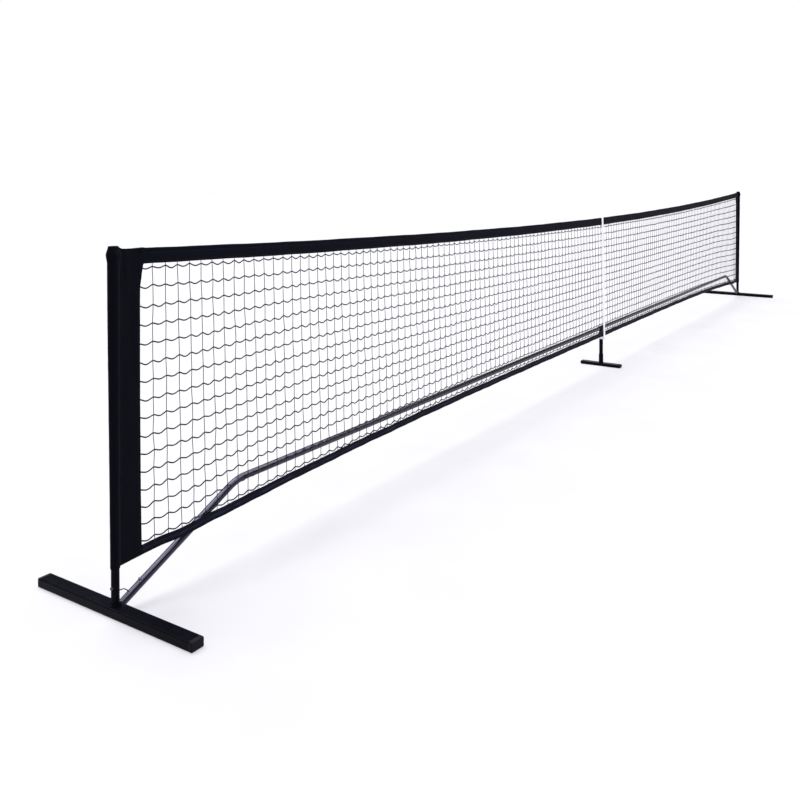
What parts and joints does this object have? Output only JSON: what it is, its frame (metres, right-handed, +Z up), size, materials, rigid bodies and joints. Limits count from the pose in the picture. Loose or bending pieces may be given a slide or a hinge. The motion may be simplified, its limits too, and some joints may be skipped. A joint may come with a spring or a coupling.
{
  "type": "portable pickleball net",
  "caption": "Free-standing portable court net: tube frame with T-shaped end feet, raised crossbar and centre foot, black netting with side sleeves, top tape and white centre strap.",
  "frame": {"origin": "on the ground, midway between the two posts", "axes": "+X along the net towards the right post, -Y towards the front face of the net, +Z up"},
  "size_m": [6.746, 0.584, 0.921],
  "materials": {
    "frame_tube": "gloss black powder coat",
    "inner_tube": "zinc-plated steel tube",
    "cap_plastic": "black moulded plastic",
    "snap_button": "blackened steel",
    "leaf_spring": "spring steel",
    "tether": "black braided cord",
    "sleeve_cloth": "woven black nylon",
    "tape_cloth": "woven black polyester tape",
    "netting": "knotted black polyethylene twine",
    "white_webbing": "white woven webbing",
    "top_cord": "braided tension cord"
  },
  "bodies": {
    "frame": {"left_foot_beam": "frame_tube", "right_foot_beam": "frame_tube", "left_foot_collar": "frame_tube", "right_foot_collar": "frame_tube", "left_post_tube": "frame_tube", "right_post_tube": "frame_tube", "left_brace_stub": "frame_tube", "right_brace_stub": "frame_tube", "left_brace_tube": "frame_tube", "right_brace_tube": "frame_tube", "left_crossbar_outer": "frame_tube", "right_crossbar_outer": "frame_tube", "left_crossbar_middle": "frame_tube", "right_crossbar_middle": "frame_tube", "left_crossbar_inner": "frame_tube", "right_crossbar_inner": "frame_tube", "left_post_spigot": "inner_tube", "right_post_spigot": "inner_tube", "left_brace_insert": "inner_tube", "right_brace_insert": "inner_tube", "left_foot_cap_front": "cap_plastic", "right_foot_cap_front": "cap_plastic", "left_foot_cap_rear": "cap_plastic", "right_foot_cap_rear": "cap_plastic", "left_post_cap": "cap_plastic", "right_post_cap": "cap_plastic", "left_post_button_spring": "leaf_spring", "right_post_button_spring": "leaf_spring", "left_brace_button_spring": "leaf_spring", "right_brace_button_spring": "leaf_spring", "left_tether_cord": "tether", "right_tether_cord": "tether", "center_tee": "frame_tube", "center_post": "frame_tube", "strap_tie": "white_webbing"},
    "net": {"left_sleeve": "sleeve_cloth", "right_sleeve": "sleeve_cloth", "top_tape": "tape_cloth", "bottom_hem": "tape_cloth", "net_mesh_left": "netting", "net_mesh_right": "netting", "center_strap": "white_webbing", "top_cord": "top_cord"},
    "center_foot": {"center_foot_beam": "frame_tube", "center_foot_cap_front": "cap_plastic", "center_foot_cap_rear": "cap_plastic", "center_foot_socket": "frame_tube"},
    "left_post_button": {"left_post_button": "snap_button"},
    "left_brace_button": {"left_brace_button": "snap_button"},
    "right_post_button": {"right_post_button": "snap_button"},
    "right_brace_button": {"right_brace_button": "snap_button"}
  },
  "joints": [
    {"name": "net_lift", "type": "slide", "parent": "frame", "child": "net", "axis": [0, 0, 1], "range_m": [0, 0.81]},
    {"name": "center_foot_swivel", "type": "hinge", "parent": "frame", "child": "center_foot", "pos_m": [0, 0, 0], "axis": [0, 0, 1], "range_deg": [-90, 90]},
    {"name": "left_post_button_press", "type": "slide", "parent": "frame", "child": "left_post_button", "axis": [1, 0, 0], "range_m": [0, 0.0035], "stiffness_N_per_m": 600, "springref_m": -0.001},
    {"name": "right_post_button_press", "type": "slide", "parent": "frame", "child": "right_post_button", "axis": [-1, 0, 0], "range_m": [0, 0.0035], "stiffness_N_per_m": 600, "springref_m": -0.001},
    {"name": "left_brace_button_press", "type": "slide", "parent": "frame", "child": "left_brace_button", "axis": [0.4274, 0, -0.9041], "range_m": [0, 0.0035], "stiffness_N_per_m": 600, "springref_m": -0.001},
    {"name": "right_brace_button_press", "type": "slide", "parent": "frame", "child": "right_brace_button", "axis": [-0.4274, 0, -0.9041], "range_m": [0, 0.0035], "stiffness_N_per_m": 600, "springref_m": -0.001}
  ]
}
